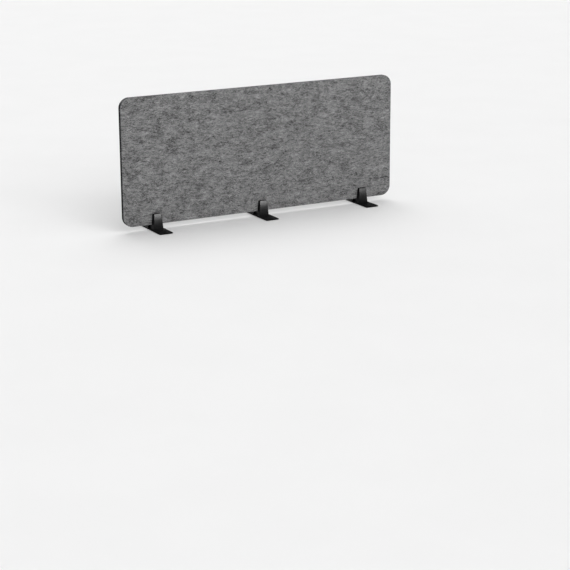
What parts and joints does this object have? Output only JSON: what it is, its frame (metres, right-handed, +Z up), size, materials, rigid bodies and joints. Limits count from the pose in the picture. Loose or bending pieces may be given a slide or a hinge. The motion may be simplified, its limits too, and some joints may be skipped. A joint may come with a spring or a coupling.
{
  "type": "desk divider screen",
  "caption": "Free-standing desk divider screen: a grey felt panel with rounded corners, held upright by black clamp feet on flat base plates.",
  "frame": {"origin": "on the desk top, under the middle of the panel", "axes": "+X along the panel, -Y to the front, +Y to the side of the clamp knobs, +Z up"},
  "size_m": [1.2, 0.2, 0.522],
  "materials": {
    "grey_felt": "needle-punched melange felt, matt, with short fibres",
    "black_steel": "fine satin powder coat on flat steel",
    "black_casting": "satin powder coat on a cast aluminium wedge",
    "black_plastic": "moulded, fine spark-eroded texture",
    "black_rubber": "matt",
    "zinc_steel": "bright zinc plated",
    "brass": "turned"
  },
  "bodies": {
    "panel": {"front_felt_board": "grey_felt", "rear_felt_board": "grey_felt"},
    "left_foot": {"left_base_plate": "black_steel", "left_foot_pads": "black_rubber", "left_base_screws": "zinc_steel", "left_front_jaw": "black_casting", "left_rear_jaw": "black_casting", "left_panel_rest": "black_plastic", "left_grip_pad": "black_rubber", "left_thread_bush": "brass"},
    "left_presser": {"left_pressure_plate": "zinc_steel", "left_pressure_pad": "black_rubber"},
    "left_screw": {"left_clamp_screw": "zinc_steel", "left_retaining_ring": "zinc_steel", "left_clamp_knob": "black_plastic"},
    "middle_foot": {"middle_base_plate": "black_steel", "middle_foot_pads": "black_rubber", "middle_base_screws": "zinc_steel", "middle_front_jaw": "black_casting", "middle_rear_jaw": "black_casting", "middle_panel_rest": "black_plastic", "middle_grip_pad": "black_rubber", "middle_thread_bush": "brass"},
    "middle_presser": {"middle_pressure_plate": "zinc_steel", "middle_pressure_pad": "black_rubber"},
    "middle_screw": {"middle_clamp_screw": "zinc_steel", "middle_retaining_ring": "zinc_steel", "middle_clamp_knob": "black_plastic"},
    "right_foot": {"right_base_plate": "black_steel", "right_foot_pads": "black_rubber", "right_base_screws": "zinc_steel", "right_front_jaw": "black_casting", "right_rear_jaw": "black_casting", "right_panel_rest": "black_plastic", "right_grip_pad": "black_rubber", "right_thread_bush": "brass"},
    "right_presser": {"right_pressure_plate": "zinc_steel", "right_pressure_pad": "black_rubber"},
    "right_screw": {"right_clamp_screw": "zinc_steel", "right_retaining_ring": "zinc_steel", "right_clamp_knob": "black_plastic"}
  },
  "joints": [
    {"name": "left_foot_slide", "type": "slide", "parent": "panel", "child": "left_foot", "axis": [1, 0, 0], "range_m": [-0.07, 0.2]},
    {"name": "left_presser_slide", "type": "slide", "parent": "left_foot", "child": "left_presser", "axis": [0, 1, 0], "range_m": [0, 0.004]},
    {"name": "left_screw_turn", "type": "hinge", "parent": "left_presser", "child": "left_screw", "pos_m": [-0.462, 0, 0.0425], "axis": [0, 1, 0], "range_deg": [0, 1440]},
    {"name": "middle_foot_slide", "type": "slide", "parent": "panel", "child": "middle_foot", "axis": [1, 0, 0], "range_m": [-0.2, 0.2]},
    {"name": "middle_presser_slide", "type": "slide", "parent": "middle_foot", "child": "middle_presser", "axis": [0, 1, 0], "range_m": [0, 0.004]},
    {"name": "middle_screw_turn", "type": "hinge", "parent": "middle_presser", "child": "middle_screw", "pos_m": [0, 0, 0.0425], "axis": [0, 1, 0], "range_deg": [0, 1440]},
    {"name": "right_foot_slide", "type": "slide", "parent": "panel", "child": "right_foot", "axis": [1, 0, 0], "range_m": [-0.2, 0.07]},
    {"name": "right_presser_slide", "type": "slide", "parent": "right_foot", "child": "right_presser", "axis": [0, 1, 0], "range_m": [0, 0.004]},
    {"name": "right_screw_turn", "type": "hinge", "parent": "right_presser", "child": "right_screw", "pos_m": [0.462, 0, 0.0425], "axis": [0, 1, 0], "range_deg": [0, 1440]}
  ],
  "couplings": [
    {"joint": "left_screw_turn", "follows": "left_presser_slide", "rad_per_m": 6283.2},
    {"joint": "middle_screw_turn", "follows": "middle_presser_slide", "rad_per_m": 6283.2},
    {"joint": "right_screw_turn", "follows": "right_presser_slide", "rad_per_m": 6283.2}
  ]
}
